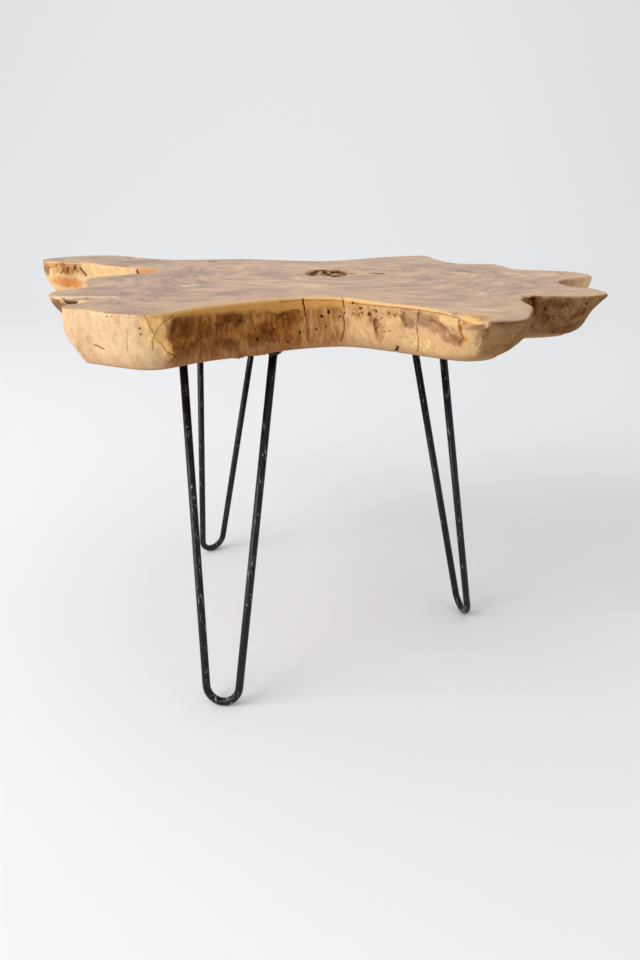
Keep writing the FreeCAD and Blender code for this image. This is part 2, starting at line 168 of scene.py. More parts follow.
# Where the outline is drawn out or in: the middle, the reach, and how far the middle goes along X, Y and Z.
GRABS = (
    ((-206, -222, 440), 36, (-6, 0, 0)),
    ((-204, -218, 418), 34, (-2, 0, -2)),
    ((-355, 225, 428), 36, (-6, 0, 0)),
    ((-295, 275, 430), 70, (0, 13, 0)),
    ((-240, 262, 430), 70, (0, 10, 0)),
    ((-290, 190, 430), 60, (0, 8, 0)),
    ((-8, 216, 430), 70, (0, 12, 0)),
    ((272, 165, 430), 50, (2, 14, 0)),
    ((364, 32, 430), 36, (8, 0, 0)),
    ((329, -129, 447), 26, (3, 0, 0)),
    ((330, -98, 440), 30, (2, 14, 0)),
    ((312, -115, 418), 34, (4, 0, -2)),
    ((214, -245, 424), 30, (7, -1, -1)),
    ((-30, -205, 400), 60, (0, 0, -1.4)),
    ((229, -225, 440), 36, (3.5, 0, 0)),
    ((-242, -138, 446), 26, (-3, 0, -0.5)),
    ((196, -252, 408), 28, (3, 0, -3)),
    ((304, -112, 413), 24, (2.5, 0, -3)),
    ((268, -110, 395), 76, (0, 0, 2.4)),
)

# Flat cuts where a tool took the bark off: three points of each in order seen from outside, and its reach.
CHISEL_CUTS = (
    ((-123, -266, 449), (-116, -259, 430), (-101, -247, 447), 15),
    ((-116, -259, 430), (-118, -256, 412), (-104, -241, 404), 15),
    ((-101, -247, 446), (-116, -258, 430), (-106, -245, 408), 12),
    ((152, -246, 449), (172, -296, 446), (180, -282, 449.6), 24),
)

# Where grubs crowd: the view, the middle and half size of each place, and how many short tracks they left.
GNAWED = (
    ("front", (70, 437, 8, 8), 8),
    ("front", (86, 434, 7, 8), 10),
    ("front", (93, 420, 7, 8), 7),
    ("front", (106, 437, 7, 6), 7),
    ("front", (-52, 432, 36, 9), 14),
    ("front", (-25, 411, 30, 7), 8),
    ("front", (12, 424, 9, 11), 6),
    ("front", (286, 440, 18, 6), 16),
    ("front", (290, 422, 24, 10), 9),
    ("front", (212, 441, 20, 5), 7),
    ("root", (-312, 440, 16, 5), 5),
    ("root", (-346, 440, 10, 5), 5),
)

# The pith, how far the bowl round it reaches, how far the skin stays fine round it and round each mark in the
# top face, and the faces that are left when the flats beyond are thinned.
PITH = (43, 75)
BOWL_REACH = 45
FINE_PITH = 34
FINE_MARK = 12
COARSE_FACES = 54000

# Hollows rotted into the top face round the pith, and their depth: uneven ovals.
PITH_HOLLOWS = (
    ((27, 70, 11, 36), 2.5),
    ((56, 70, 14, 44), 4.5),
    ((42, 62, 10, 30), 3.0),
)

# Tints of the live edge: strength, how ragged they are, how much of each patch is full, and where each patch
# is seen, with its centre and its half width and height.
# The brown, olive and umber patches that run the wall's full height are partly the wood's own colour and
# partly painted shade, darker where the wall turns from the key light at the front left.
TINT_PATCHES = {
    "brown": (1.0, 0.2, 0.85, (
        ("front", (-62, 420, 46, 190)),
        ("front", (-20, 420, 34, 190)),
        ("back", (30, 408, 60, 26)),
        ("back", (-290, 412, 40, 22)),
    )),
    "honey": (0.9, 0.3, 0.4, (
        ("front", (36, 420, 30, 190)),
        ("front", (-60, 418, 16, 14)),
        ("front", (-30, 432, 20, 12)),
        ("front", (-72, 442, 22, 5)),
        ("front", (-60, 402, 46, 8)),
        ("front", (276, 443, 18, 5)),
        ("root", (-322, 438, 26, 9)),
        ("front", (72, 438, 9, 9)),
        ("front", (86, 432, 7, 14)),
        ("front", (94, 420, 7, 12)),
        ("front", (104, 438, 8, 7)),
        ("back", (-150, 424, 70, 40)),
        ("back", (130, 424, 60, 40)),
    )),
    "straw": (1.0, 0.15, 0.6, (
        ("front", (96, 420, 42, 190)),
        ("front", (146, 420, 36, 190)),
    )),
    "olive": (1.0, 0.1, 0.85, (
        ("front", (220, 420, 42, 190)),
        ("back", (230, 414, 44, 24)),
    )),
    "umber": (1.0, 0.15, 0.8, (
        ("front", (312, 420, 58, 190)),
        # Painted shade inside the notch at the front left.
        ("front", (-236, 436, 14, 12)),
    )),
    "yellow": (0.85, 0.6, 0.25, (
        ("front", (144, 408, 22, 9)),
        ("front", (172, 414, 9, 9)),
        ("front", (122, 410, 9, 8)),
        ("back", (-60, 434, 30, 14)),
        ("back", (200, 438, 26, 10)),
        ("front", (150, 440, 9, 11)),
        ("front", (166, 428, 8, 10)),
        ("front", (106, 434, 12, 9)),
        ("root", (-345, 428, 16, 34)),
        ("root", (-280, 436, 36, 16)),
        ("root", (-240, 442, 30, 14)),
    )),
    "pink": (0.9, 0.5, 0.35, (
        ("front", (120, 434, 6, 13)),
        ("front", (134, 438, 11, 9)),
        ("front", (145, 430, 11, 8)),
        ("front", (156, 424, 10, 6)),
        ("front", (170, 443, 9, 6)),
        ("back", (70, 436, 20, 12)),
    )),
    "orange": (0.85, 0.35, 0.3, (
        ("front", (158, 440, 2.6, 13)),
        ("front", (162, 427, 2.6, 9)),
        ("root", (-325, 421, 30, 8)),
        ("root", (-190, 446, 24, 8)),
        ("root", (-348, 446, 18, 4)),
    )),
    "gold": (1.0, 0.1, 0.6, (
        ("front", (-114, 444, 11, 9)),
        ("front", (-113, 428, 9, 13)),
        ("front", (-111, 414, 7, 10)),
        ("top", (167, -274, 13, 20)),
    )),
    # Stains are mostly the wood's own dark blotches; a few below are painted shade.
    "stain": (0.75, 0.9, 0.0, (
        ("front", (-94, 438, 16, 10)),
        ("front", (-94, 428, 14, 14)),
        ("front", (-86, 412, 16, 13)),
        ("front", (-72, 428, 18, 15)),
        ("front", (-55, 435, 14, 12)),
        ("front", (-45, 431, 13, 10)),
        ("front", (-28, 409, 15, 8)),
        ("front", (-14, 408, 15, 7)),
        ("front", (-20, 420, 12, 13)),
        ("front", (-62, 411, 16, 10)),
        ("front", (-2, 434, 9, 5)),
        ("front", (84, 436, 4, 9)),
        ("front", (90, 426, 4, 10)),
        # This and the next stain are painted shadow along the top of the front right root's end.
        ("front", (197, 443, 10, 5)),
        ("front", (207, 441, 8, 5)),
        ("back", (-190, 436, 16, 12)),
        ("back", (-40, 412, 24, 9)),
        ("back", (90, 420, 18, 14)),
        ("back", (170, 412, 22, 9)),
        ("front", (115, 434, 2.6, 13)),
        ("front", (178, 438, 5, 12)),
        # Painted shadow along the top of the front right root's end.
        ("front", (188, 446, 14, 6)),
        # Painted shadow in the crease and cleft between the two right-hand roots.
        ("front", (254, 438, 12, 20)),
        ("front", (276, 424, 11, 9)),
        ("front", (268, 436, 10, 13)),
        ("front", (285, 438, 14, 8)),
        ("front", (308, 430, 16, 8)),
        ("front", (298, 410, 30, 10)),
        ("root", (-358, 440, 7, 14)),
    )),
}

# Two fresh scratches in the top face.
PALE_MARKS = (
    (-120, -60, 9, 5),
    (-104, -56, 8, 4),
)

# Splintered edges and a strip of sapwood that look bright, and painted highlights along the top rims, where
# the rounded edge
# meets the light: where they are seen, their run, half width and how bright they look.
PALE_LINES_AND_RIM_HIGHLIGHTS = (
    ("front", ((176, 451), (177, 447), (178, 443)), 0.9, 1.0),
    ("front", ((177, 431), (179, 424), (177, 416), (178, 408)), 0.8, 0.5),
    ("front", ((158, 447.5), (174, 448.5)), 0.8, 0.9),
    ("front", ((-190, 449), (-124, 448)), 0.8, 0.6),
    ("front", ((262, 449), (286, 449), (318, 449)), 1.3, 0.5),
    ("front", ((136, 404), (140, 411), (139, 418)), 0.8, 0.6),
    ("front", ((124, 405), (128, 411), (134, 409)), 0.7, 0.5),
    ("top", ((-244, -147), (-222, -152), (-178, -152)), 7.0, 0.9),
)


def srgb(code):
    """A hex colour as linear red, green, blue and alpha."""
    parts = [int(code[k:k + 2], 16) / 255 for k in (1, 3, 5)]
    return tuple(c / 12.92 if c <= 0.04045 else ((c + 0.055) / 1.055) ** 2.4 for c in parts) + (1.0,)


def colour(name, description, code):
    """A colour that a user can set, given as a hex code."""
    return bpy.props.FloatVectorProperty(
        name=name, description=description, default=srgb(code), size=4, subtype="COLOR", min=0, max=1)


def length(name, description, metres):
    """A length that a user can set."""
    return bpy.props.FloatProperty(
        name=name, description=description, default=metres, unit="LENGTH", precision=4)


class RootSliceSettings(bpy.types.PropertyGroup):
    """The slice of root wood."""
    skin: length("Skin", "Edge of one face of the worked skin", 0.0023)
    ledge: length("Ledge", "How far the live edge lies back below the sanded band", 0.0012)
    swell: length("Swell", "Height of the live edge's broad hollows and swells", 0.0016)
    fibre: length("Fibre", "Height of the fibres that run down the live edge", 0.0003)
    ring: length("Ring", "Spacing of the growth rings in the top face", 0.009)
    heart: colour("Heartwood", "Darker wood of the top face", "#98745d")
    streak: colour("Streaks", "Paler figure of the top face", "#d4ac83")
    sap: colour("Sapwood", "Pale wood beside the rim", "#d3ab78")
    amber: colour("Sanded edge", "Lacquered band along the front rim", "#bf853e")
    fresh: colour("Live edge", "Fresh wood of the live edge", "#e0be96")
    # Brown, olive and umber are partly the wood's own colour and partly painted shade on walls turned from
    # the key light.
    brown: colour("Browned edge", "Wood of the front bay's left side", "#ae7937")
    honey: colour("Honey edge", "Wood in the middle of the front bay", "#c49358")
    straw: colour("Straw edge", "Wood of the front bay's right side", "#dab282")
    olive: colour("Olive edge", "Wood of the front right root's end", "#98744a")
    umber: colour("Umber edge", "Wood of the right-hand root", "#94744e")
    yellow: colour("Yellow patches", "Wood under fresh chips", "#e4c087")
    pink: colour("Pink patches", "Wood under a fallen knot", "#9f755b")
    orange: colour("Orange patches", "Resin in cracks and chips", "#cc7d32")
    gold: colour("Golden cuts", "Chisel cuts at the front left corner", "#ffd08a")
    # Also used for painted shade in a cleft and creases.
    stain: colour("Stains", "Dark blotches", "#643610")
    sawn: colour("Underside", "Sawn wood of the underside", "#b9946a")


class LegSettings(bpy.types.PropertyGroup):
    """The hairpin legs and what fixes them."""
    paint: colour("Paint", "Black paint on bars and plates", "#070708")
    scuff: colour("Scuffs", "Paint rubbed pale", "#b4b4b5")
    zinc: colour("Zinc", "Plating of the screws", "#a9a9a4")


class StudioSettings(bpy.types.PropertyGroup):
    """Floor, light and camera."""
    floor: colour("Floor", "Pale seamless floor and backdrop", "#eeeff1")
    key: bpy.props.FloatProperty(
        name="Key light", description="Softbox, front left", default=92.0, unit="POWER")
    wash: bpy.props.FloatProperty(
        name="Backdrop light", description="Lamp on the backdrop", default=20.0, unit="POWER")
    sky: bpy.props.FloatProperty(name="Room light", description="Even light of the room", default=0.7)
    eye: bpy.props.FloatVectorProperty(
        name="Camera", description="Where the camera stands", subtype="TRANSLATION",
        default=(0.034, -1.0277, 0.5708))
    pitch: bpy.props.FloatProperty(
        name="Pitch", description="How far the camera looks down", unit="ROTATION",
        default=math.radians(20.0))
    lens: bpy.props.FloatProperty(name="Lens", description="Focal length", default=31.875, unit="CAMERA")


class TableSettings(bpy.types.PropertyGroup):
    """Everything that a user of the table would change."""
    slice: bpy.props.PointerProperty(type=RootSliceSettings)
    legs: bpy.props.PointerProperty(type=LegSettings)
    studio: bpy.props.PointerProperty(type=StudioSettings)


# Finishes

def add(tree, kind, inputs=None, **settings):
    """Adds a node with its settings, and sets or links its inputs by name or number."""
    made = tree.nodes.new(kind)
    for name, value in settings.items():
        setattr(made, name, value)
    for name, value in (inputs or {}).items():
        if isinstance(value, bpy.types.NodeSocket):
            tree.links.new(value, made.inputs[name])
        else:
            made.inputs[name].default_value = value
    return made


def new_material(name):
    """An empty node material with its shader already wired to the output."""
    material = bpy.data.materials.new(name)
    material.use_nodes = True
    tree = material.node_tree
    tree.nodes.clear()
    shader = add(tree, "ShaderNodeBsdfPrincipled")
    add(tree, "ShaderNodeOutputMaterial", {"Surface": shader.outputs["BSDF"]})
    return material, tree, shader


def blend(tree, share, first, second, mode="MIX"):
    """Mixes two colours and gives back the result's socket."""
    mixed = add(tree, "ShaderNodeMix", {0: share, 6: first, 7: second}, data_type="RGBA", blend_type=mode)
    return mixed.outputs[2]


def ramp_of(tree, value, stops):
    """A colour ramp through stops of place and colour."""
    made = add(tree, "ShaderNodeValToRGB", {"Fac": value})
    elements = made.color_ramp.elements
    while len(elements) < len(stops):
        elements.new(0.5)
    for element, (place, tint) in zip(elements, stops):
        element.position = place
        element.color = tint
    return made.outputs["Color"]


def spread(tree, value, low, high, to_low=0.0, to_high=1.0):
    """Maps a value's range to another, held at both ends."""
    sockets = {"Value": value, "From Min": low, "From Max": high, "To Min": to_low, "To Max": to_high}
    return add(tree, "ShaderNodeMapRange", sockets).outputs["Result"]


def sums(tree, operation, first, second):
    """Adds a maths node and gives back the result's socket."""
    return add(tree, "ShaderNodeMath", {0: first, 1: second}, operation=operation).outputs[0]


def clouds(tree, place, scale, detail=3.0, rough=0.55):
    """Noise of a given number of features to the metre."""
    sockets = {"Vector": place, "Scale": scale, "Detail": detail, "Roughness": rough}
    return add(tree, "ShaderNodeTexNoise", sockets).outputs["Fac"]


def stored(tree, name):
    """A value kept on the piece's points."""
    return add(tree, "ShaderNodeAttribute", attribute_name=name).outputs["Fac"]


# Pieces

def link_piece(mesh, name):
    """Puts a mesh in the scene as a piece."""
    piece = bpy.data.objects.new(name, mesh)
    bpy.context.scene.collection.objects.link(piece)
    return piece


def copy_of(node, name):
    """A piece with the merged mesh of a CAD node."""
    form = bmesh.new()
    form.from_mesh(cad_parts[node].data)
    bmesh.ops.remove_doubles(form, verts=form.verts, dist=0.01 * MM)
    mesh = bpy.data.meshes.new(name)
    form.to_mesh(mesh)
    form.free()
    return link_piece(mesh, name)


def apply_modifiers(piece):
    """Makes a piece's modifiers part of its mesh."""
    graph = bpy.context.evaluated_depsgraph_get()
    finished = bpy.data.meshes.new_from_object(piece.evaluated_get(graph))
    piece.modifiers.clear()
    piece.data = finished


def finish_piece(piece, material, slot, *nodes):
    """Gives a piece its finish and its place in the part, and hides the CAD nodes that it stands for."""
    piece.data.materials.clear()
    piece.data.materials.append(material)
    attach(piece, "root")
    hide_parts(*nodes)


# The root slice

def step(values, low, high):
    """0 below low, 1 above high, and a smooth rise between."""
    share = np.clip((values - low) / (high - low), 0, 1)
    return share * share * (3 - 2 * share)


class Skin:
    """The points of the slice's skin, the way each faces, and how far each lies from the rim in plan."""

    def __init__(self, mesh):
        self.mesh = mesh
        self.places = np.empty(len(mesh.vertices) * 3)
        self.facing = np.empty(len(mesh.vertices) * 3)
        mesh.vertices.foreach_get("co", self.places)
        mesh.vertices.foreach_get("normal", self.facing)
        self.places = self.places.reshape(-1, 3)
        self.facing = self.facing.reshape(-1, 3)
        self.drop = TOP - self.places[:, 2]
        self.rim_gap = self.measure_rim()
        x, y = self.places[:, 0], self.places[:, 1]
        upright = (self.facing[:, 2] < 0.8) | (self.rim_gap < 2.5 * MM)
        near = 1 - step(y, -0.02, 0.03)
        left = 1 - step(x, -0.17, -0.13)
        front = upright * near * (1 - step(self.facing[:, 1], 0.2, 0.6))
        root = upright * (1 - near) * left * (1 - step(self.facing[:, 1], 0.0, 0.3))
        self.shown = {"front": front, "root": root, "back": upright * (1 - np.maximum(front, root))}
        self.shown["top"] = step(self.facing[:, 2], 0.65, 0.75)
        self.seen = {view: share > 0.5 for view, share in self.shown.items()}
        self.wall = 1 - step(np.abs(self.facing[:, 2]), 0.75, 0.95)
        self.moved = np.zeros(len(self.places))
        self.pit = np.zeros(len(self.places))
        self.score = np.zeros(len(self.places))
        self.cut = np.zeros(len(self.places))

    @cached_property
    def waver(self):
        """How much wider or narrower a crack is at each point."""
        return 1 + 0.45 * self.grain((0.006, 0.006, 0.006), 7)

    @cached_property
    def jitter(self):
        """How far a line wanders at each point."""
        return np.stack([self.grain((0.005, 0.005, 0.005), seed) for seed in (10, 11)], axis=1) * MM

    @cached_property
    def stray(self):
        """How far a patch's outline wanders at each point."""
        coarse = [self.grain((0.016, 0.016, 0.016), seed) for seed in (8, 9)]
        return np.stack(coarse, axis=1) * 6 * MM + self.jitter * 3

    def measure_rim(self):
        """Distance of each point in plan from the top face's rim."""
        rim = np.flatnonzero((self.drop < 4 * MM) & (self.facing[:, 2] > 0.2) & (self.facing[:, 2] < 0.9))
        tree = kdtree.KDTree(len(rim))
        for index in rim:
            tree.insert((self.places[index][0], self.places[index][1], 0), int(index))
        tree.balance()
        return np.array([tree.find((p[0], p[1], 0))[2] for p in self.places])

    def grain(self, sizes, seed):
        """Smooth noise at each point, with its features as long as sizes, in metres along X, Y and Z."""
        offset = Vector((seed * 7.31, seed * 3.17, seed * 5.73))
        return np.array([noise.noise(Vector(p) + offset) for p in self.places / np.array(sizes)])

    def line_gap(self, view, line):
        """Distance of each point from a line that wanders a little, as seen in a view."""
        chosen = np.flatnonzero(self.seen[view])
        seen = self.places[chosen][:, SEEN_AXES[view]] + self.jitter[chosen]
        nearest = np.full(len(seen), np.inf)
        corners = np.array(line) * MM
        for start, end in zip(corners, corners[1:]):
            along = end - start
            share = np.clip((seen - start) @ along / (along @ along), 0, 1)
            nearest = np.minimum(nearest, np.linalg.norm(seen - start - share[:, None] * along, axis=1))
        gaps = np.full(len(self.places), np.inf)
        gaps[chosen] = nearest
        return gaps

    def mark_gap(self, centre, out, half_tall):
        """Distance of each point from a mark on any side that runs half_tall up and down the wall."""
        down = np.array((0, 0, -1)) + out[2] * out
        down /= np.linalg.norm(down)
        offset = self.places - centre
        along = np.maximum(np.abs(offset @ down) - half_tall, 0)
        gap = np.hypot(offset @ np.cross(out, down), along)
        gap[np.linalg.norm(offset, axis=1) > half_tall + 12 * MM] = np.inf
        return gap

    def patch(self, view, spot, core=0.0):
        """Falls from 1 in the core of an uneven oval patch, as seen in a view, to 0 at its outline."""
        x, z, half_wide, half_high = spot
        offset = self.places[:, SEEN_AXES[view]] + self.stray - np.array((x, z)) * MM
        reach = np.linalg.norm(offset / np.array((half_wide, half_high)) / MM, axis=1)
        return (1 - step(reach, core, 1.2)) * self.shown[view]

    def ring_share(self, power=4):
        """0 at the pith and 1 at the rim, with smooth rings between that turn from round to the outline."""
        rim = self.places[self.rim_gap < 0.3 * MM][::40, :2]
        plan = self.places[:, :2]
        nearness = np.zeros(len(plan))
        for point in rim:
            nearness += (np.sum((plan - point) ** 2, axis=1) + MM * MM) ** (-power / 2)
        outward = (nearness / len(rim)) ** (-1 / power) * len(rim) ** (-1 / power)
        inward = np.linalg.norm(plan - np.array(PITH) * MM, axis=1)
        return inward / (inward + 2 * outward)

    def store(self, name, values):
        """Keeps a value per point as an attribute that the finish reads."""
        self.mesh.attributes.new(name, "FLOAT", "POINT").data.foreach_set("value", values.astype(np.float32))


def even_skin(size):
    """The CAD slice as a closed skin of small even faces, with the plain flats kept coarse."""
    piece = copy_of("root_slice_top", "root_slice")
    even = piece.modifiers.new("even_faces", "REMESH")
    even.mode = "VOXEL"
    even.voxel_size = size
    apply_modifiers(piece)
    skin = Skin(piece.data)
    marks = [point for view, line, *_ in CRACKS if view == "top" for point in line]
    plain = (np.abs(skin.facing[:, 2]) > 0.995) & (skin.rim_gap > 6 * MM)
    for mark, reach in [(PITH, FINE_PITH)] + [(mark, FINE_MARK) for mark in marks]:
        near = np.linalg.norm(skin.places[:, :2] - np.array(mark) * MM, axis=1) < reach * MM
        plain &= ~near | (skin.facing[:, 2] < 0)
    flats = piece.vertex_groups.new(name="flats")
    flats.add([int(index) for index in np.flatnonzero(plain)], 1.0, "REPLACE")
    coarse = piece.modifiers.new("coarse_flats", "DECIMATE")
    coarse.ratio = COARSE_FACES / len(piece.data.polygons)
    coarse.vertex_group = "flats"
    coarse.vertex_group_factor = 10
    apply_modifiers(piece)
    piece.vertex_groups.clear()
    return piece


def gnawed_tracks():
    """Short winding tracks, as lines with a half width and a depth."""
    chance = random.Random(5)
    tracks = []
    for view, (x, z, half_wide, half_high), count in GNAWED:
        for _ in range(count):
            line = [(chance.gauss(x, half_wide / 2), chance.gauss(z, half_high / 2))]
            turn = chance.uniform(0, math.tau)
            for _ in range(3):
                turn += chance.uniform(-1.3, 1.3)
                run = chance.uniform(0.4, 1.3)
                line.append((line[-1][0] + run * math.cos(turn), line[-1][1] + 1.4 * run * math.sin(turn)))
            dark = chance.uniform(0.15, 0.42)
            tracks.append((view, tuple(line), chance.uniform(0.3, 0.6), 2.5 * dark, dark))
    return tracks


def hidden_marks(skin, holes=46, cracks=14):
    """Goes on with holes and cracks round the sides that the photo hides."""
    chance = random.Random(11)
    hidden = np.flatnonzero((skin.wall > 0.95) & skin.seen["back"])
    marks = []
    for number in range(holes + cracks):
        index = chance.choice(hidden)
        half_tall = chance.uniform(0, 1.5) if number < holes else chance.uniform(6, 24)
        half = chance.uniform(0.6, 1.6) if number < holes else chance.uniform(0.3, 0.5)
        marks.append((skin.places[index], skin.facing[index], half_tall * MM, half, chance.uniform(1.5, 4)))
    return marks


def fine_marks(piece, tracks, hidden):
    """Splits the faces near each mark, so that a thin crack keeps its line."""
    for reach in (2.2 * MM, 0.7 * MM):
        skin = Skin(piece.data)
        near = np.zeros(len(skin.places), dtype=bool)
        for view, line, half, *_ in CRACKS + SCORES + tracks + PALE_LINES_AND_RIM_HIGHLIGHTS:
            near |= np.abs(skin.line_gap(view, line) - max(half - 1, 0) * MM) < reach + min(half, 1) * MM
        for view, place, radius, _, tall in WORM_HOLES:
            near |= skin.line_gap(view, (place, (place[0], place[1] + 0.1))) < reach + radius * tall * MM
        for centre, out, half_tall, half, _ in hidden:
            near |= skin.mark_gap(centre, out, half_tall) < reach + half * MM
        form = bmesh.new()
        form.from_mesh(piece.data)
        close = [edge for edge in form.edges if near[edge.verts[0].index] and near[edge.verts[1].index]]
        bmesh.ops.subdivide_edges(form, edges=close, cuts=1, use_grid_fill=True)
        bmesh.ops.triangulate(form, faces=[face for face in form.faces if len(face.verts) > 4])
        form.to_mesh(piece.data)
        form.free()


def draw_outline(skin):
    """Draws the slice's outline out or in where it has grown or worn."""
    for middle, reach, move in GRABS:
        gap = np.linalg.norm(skin.places - np.array(middle) * MM, axis=1)
        skin.places += (1 - step(gap, 0.1 * reach * MM, reach * MM))[:, None] * np.array(move) * MM


def sand_edge(skin, sizes):
    """Sets the raw wood back below the sanded band, and gives it swells and fibres."""
    band_x, band_z = np.array(BAND_LINE).T * MM
    low = np.interp(skin.places[:, 0], band_x, band_z, left=TOP, right=TOP)
    low = np.where(skin.seen["front"], low, TOP) - 0.5 * MM * skin.grain((0.009, 0.009, 0.02), 2)
    skin.raw = step(low - skin.places[:, 2], -0.6 * MM, 1.0 * MM) * skin.wall
    fade = step(low - skin.places[:, 2] + 2 * MM * skin.grain((0.012, 0.012, 0.02), 12), -2.0 * MM, 3.0 * MM)
    skin.band = skin.seen["front"] * step(TOP - low, 0.5 * MM, 2.5 * MM) * (1 - fade)
    for view, spot, swell in SWELLS:
        skin.moved += skin.wall * skin.patch(view, spot, core=0.3) * swell * MM
    skin.moved -= skin.raw * sizes.ledge
    skin.moved += skin.raw * sizes.swell * skin.grain((0.04, 0.04, 0.03), 3)
    skin.moved += skin.raw * sizes.fibre * skin.grain((0.005, 0.005, 0.05), 4)
    skin.moved += skin.raw * sizes.fibre * skin.grain((0.0025, 0.0025, 0.012), 5)


def cut_lines(skin, tracks):
    """Opens the drying cracks and grub tracks, and scores the lines."""
    for view, line, half, deep, dark in CRACKS + tracks:
        cut = np.exp(-(skin.line_gap(view, line) / (half * MM * skin.waver)) ** 2)
        skin.moved -= cut * deep * MM
        # The darkness kept as pit is painted shade in the crack or track.
        skin.pit = np.maximum(skin.pit, cut ** 0.8 * dark)
    for view, line, half, deep, dark in SCORES:
        cut = np.exp(-(skin.line_gap(view, line) / (half * MM * skin.waver)) ** 2)
        skin.moved -= cut * deep * MM
        # Score darkness: dark gold of cut edges, and partly painted shadow under the band.
        skin.score = np.maximum(skin.score, cut * dark)


def rot_pith(skin):
    """Sinks the rotted hollows in the top face, and browns them and the bowl round the pith in flakes."""
    crumbled = np.clip(0.7 + 0.9 * skin.grain((0.007, 0.014, 0.01), 13), 0.3, 1)
    for spot, deep in PITH_HOLLOWS:
        cut = skin.patch("top", spot, core=0.4)
        skin.moved -= cut * deep * MM
        skin.pit = np.maximum(skin.pit, 0.45 * step(cut, 0.1, 0.6) * crumbled)
    near = np.linalg.norm(skin.places[:, :2] - np.array(PITH) * MM, axis=1) < BOWL_REACH * MM
    bowl = step(skin.drop, 0.4 * MM, 1.6 * MM) * near * (skin.drop < 30 * MM)
    skin.pit = np.maximum(skin.pit, 0.5 * bowl * crumbled)


def bore_holes(skin):
    """Bores the worm holes that the photo shows."""
    for view, place, radius, deep, tall in WORM_HOLES:
        offset = skin.places[:, SEEN_AXES[view]] + skin.jitter - np.array(place) * MM
        gap = np.linalg.norm(offset / np.array((1, tall)), axis=1) / (radius * MM * skin.waver)
        cut = (1 - step(gap, 0.2, 1.0)) * skin.seen[view]
        skin.moved -= cut * deep * MM
        # Painted shade: the hole's inside is darkened nearly to black.
        skin.pit = np.maximum(skin.pit, 0.85 * cut)


def weather_sides(skin, hidden):
    """Cuts the holes and cracks of the sides that the photo hides."""
    for centre, out, half_tall, half, deep in hidden:
        cut = np.exp(-(skin.mark_gap(centre, out, half_tall) / (half * MM * skin.waver)) ** 2)
        skin.moved -= cut * deep * MM
        # Painted shade in each hole and crack.
        skin.pit = np.maximum(skin.pit, cut * 0.7)


def chisel(skin):
    """Flattens what stands proud of each tool cut."""
    for first, second, third, reach in CHISEL_CUTS:
        first, second, third = (np.array(point) * MM for point in (first, second, third))
        out = np.cross(second - first, third - first)
        out /= np.linalg.norm(out)
        middle = (first + second + third) / 3
        proud = (skin.places - middle) @ out + 0.3 * MM
        close = np.linalg.norm(skin.places - middle, axis=1) < reach * MM
        sunk = close & (proud > 0) & (proud < 8 * MM)
        skin.places[sunk] -= out * proud[sunk][:, None]
        skin.cut[sunk] = 1


def work_slice(piece, sizes):
    """Works the skin as growth, insects and tools did, and stores where each mark lies for the finish."""
    tracks = tuple(gnawed_tracks())
    hidden = hidden_marks(Skin(piece.data))
    fine_marks(piece, tracks, hidden)
    skin = Skin(piece.data)
    draw_outline(skin)
    sand_edge(skin, sizes)
    cut_lines(skin, tracks)
    rot_pith(skin)
    bore_holes(skin)
    weather_sides(skin, hidden)
    skin.store("ring", skin.ring_share())
    skin.places += skin.facing * skin.moved[:, None]
    chisel(skin)
    piece.data.vertices.foreach_set("co", skin.places.ravel())
    piece.data.update()
    skin.store("top", step(skin.facing[:, 2], 0.82, 0.98) * (1 - skin.cut))
    skin.store("under", step(-skin.facing[:, 2], 0.75, 0.95))
    skin.store("raw", skin.raw)
    skin.store("band", skin.band)
    skin.store("rim_gap", skin.rim_gap)
    skin.store("pit", skin.pit)
    skin.store("score", skin.score)
    for name, (_, _, core, spots) in TINT_PATCHES.items():
        skin.store(name, np.max([skin.patch(view, spot, core) for view, spot in spots], axis=0))
    pale = [skin.patch("top", spot, core=0.5) for spot in PALE_MARKS]
    # The lines along the top rims are painted highlights; the rest are pale splinters and sapwood.
    for view, line, half, bright in PALE_LINES_AND_RIM_HIGHLIGHTS:
        pale.append(bright * np.exp(-(skin.line_gap(view, line) / (half * MM * skin.waver)) ** 2))
    skin.store("pale", np.max(pale, axis=0))
    for face in piece.data.polygons:
        face.use_smooth = True


def top_figure(tree, place, sizes):
    """Mottled end grain: soft patches drawn out along rings that follow the slice's outline."""
    apart = add(tree, "ShaderNodeSeparateXYZ", {0: place}).outputs
    wander = sums(tree, "MULTIPLY", clouds(tree, place, 9.0, 2.0), 0.12)
    ring = sums(tree, "ADD", stored(tree, "ring"), wander)
    along = {0: sums(tree, "MULTIPLY", ring, 0.3 / sizes.ring), 1: sums(tree, "MULTIPLY", apart[0], 26.0)}
    along[2] = sums(tree, "MULTIPLY", apart[1], 30.0)
    figure = clouds(tree, add(tree, "ShaderNodeCombineXYZ", along).outputs[0], 1.0, 4.0, 0.5)
    along[0] = sums(tree, "MULTIPLY", ring, 1.1 / sizes.ring)
    streaks = clouds(tree, add(tree, "ShaderNodeCombineXYZ", along).outputs[0], 1.3, 3.0, 0.5)
    mottle = clouds(tree, place, 11.0, 2.0)
    share = sums(tree, "MULTIPLY", figure, 0.42)
    share = sums(tree, "ADD", share, sums(tree, "MULTIPLY", mottle, 0.33))
    share = sums(tree, "ADD", share, sums(tree, "MULTIPLY", streaks, 0.25))
    share = sums(tree, "ADD", share, spread(tree, apart[0], -0.3, 0.0, -0.05, 0.0))
    tint = ramp_of(tree, spread(tree, share, 0.39, 0.62), (
        (0.0, tuple(sizes.heart)),
        (0.45, srgb("#bd9777")),
        (0.8, tuple(sizes.streak)),
        (1.0, srgb("#e4c294")),
    ))
    near_rim = spread(tree, stored(tree, "rim_gap"), 0.002, 0.042, 1.0, 0.0)
    near_rim = sums(tree, "MULTIPLY", near_rim, spread(tree, clouds(tree, place, 22.0), 0.36, 0.66, 0.0, 0.8))
    return blend(tree, near_rim, tint, tuple(sizes.sap)), figure


